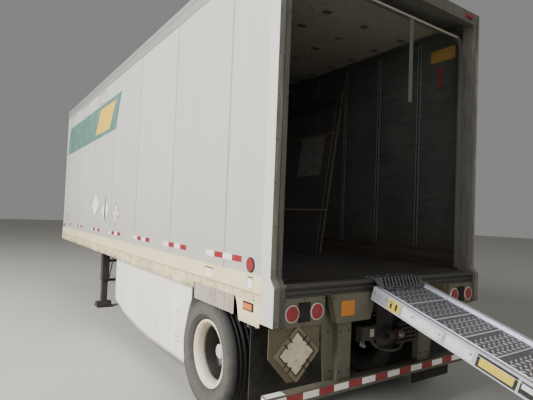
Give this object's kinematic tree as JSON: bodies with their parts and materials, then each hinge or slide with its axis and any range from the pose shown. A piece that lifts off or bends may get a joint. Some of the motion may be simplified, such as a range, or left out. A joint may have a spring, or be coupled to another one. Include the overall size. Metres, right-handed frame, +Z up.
{
  "type": "dry van semi-trailer with walk ramp",
  "caption": "Short single-axle box van semi-trailer, parked on its landing gear, roll-up rear door open and a walk ramp hooked on its sill.",
  "frame": {"origin": "on the ground under the middle of the whole footprint, trailer and lowered ramp together", "axes": "+X forward towards the nose, +Y to the trailer's left, +Z up"},
  "size_m": [12.569, 2.591, 3.962],
  "materials": {
    "side_panel": "light grey painted aluminium sheet, chalked",
    "cream_rail": "cream gloss paint, dusty",
    "aluminium_rail": "dull extruded aluminium",
    "frame_paint": "worn grey paint on steel",
    "dark_steel": "black chassis paint with road dirt",
    "sill_steel": "bare worn steel",
    "white_skirt": "off-white paint",
    "galvanised": "dull galvanised steel",
    "board_wood": "dark worn plywood",
    "floor_wood": "worn hardwood boards",
    "door_panel": "coated plywood, stained",
    "black_rubber": "matt rubber",
    "tyre": "dusty tyre rubber",
    "rim_paint": "cream wheel paint",
    "hub_iron": "cast iron with dirt",
    "red_lens": "clear red lens",
    "olive_paint": "olive paint",
    "placard_aluminium": "dirty aluminium",
    "ramp_aluminium": "worn extruded aluminium"
  },
  "bodies": {
    "root": {"side_wall_left": "side_panel", "side_wall_right": "side_panel", "nose_wall": "side_panel", "bottom_rails": "cream_rail", "nose_bottom_rail": "cream_rail", "top_rails": "aluminium_rail", "nose_top_rail": "aluminium_rail", "roof": "aluminium_rail", "floor_deck": "floor_wood", "scuff_boards": "floor_wood", "bulkhead_boards": "board_wood", "crossmembers": "dark_steel", "rear_posts": "frame_paint", "rear_header": "frame_paint", "rear_sill": "sill_steel", "lamp_panels": "frame_paint", "roll_door": "door_panel", "door_hinges": "galvanised", "pull_strap": "black_rubber", "marker_lamps": "red_lens", "pintle_mount": "dark_steel", "nose_sockets": "dark_steel", "door_tracks": "galvanised", "door_spring_shaft": "galvanised", "upper_coupler": "dark_steel", "kingpin": "dark_steel", "landing_legs": "dark_steel", "landing_shoes": "dark_steel", "landing_braces": "dark_steel", "landing_crank": "dark_steel", "axle": "dark_steel", "suspension_frame": "dark_steel", "leaf_springs": "dark_steel", "brake_chambers": "dark_steel", "air_tank": "dark_steel", "side_skirts": "white_skirt", "arch_panels": "cream_rail", "mud_flaps": "black_rubber", "flap_brackets": "dark_steel", "underride_guard": "frame_paint", "tail_lamps": "red_lens", "placard_back": "olive_paint", "placard_holder": "placard_aluminium", "ramp_apron": "ramp_aluminium"},
    "wheels_left": {"tyres_left": "tyre", "rims_left": "rim_paint", "hub_left": "hub_iron"},
    "wheels_right": {"tyres_right": "tyre", "rims_right": "rim_paint", "hub_right": "hub_iron"},
    "ramp": {"ramp_beams": "ramp_aluminium", "ramp_planks": "ramp_aluminium"}
  },
  "joints": [
    {"name": "wheels_left_spin", "type": "hinge", "parent": "root", "child": "wheels_left", "pos_m": [-1.24952, 0.968, 0.5], "axis": [0, 1, 0], "continuous": true},
    {"name": "wheels_right_spin", "type": "hinge", "parent": "root", "child": "wheels_right", "pos_m": [-1.24952, -0.968, 0.5], "axis": [0, 1, 0], "continuous": true},
    {"name": "ramp_hinge", "type": "hinge", "parent": "root", "child": "ramp", "pos_m": [-2.39571, 0, 1.19257], "axis": [0, 1, 0], "range_deg": [0, 20]}
  ]
}
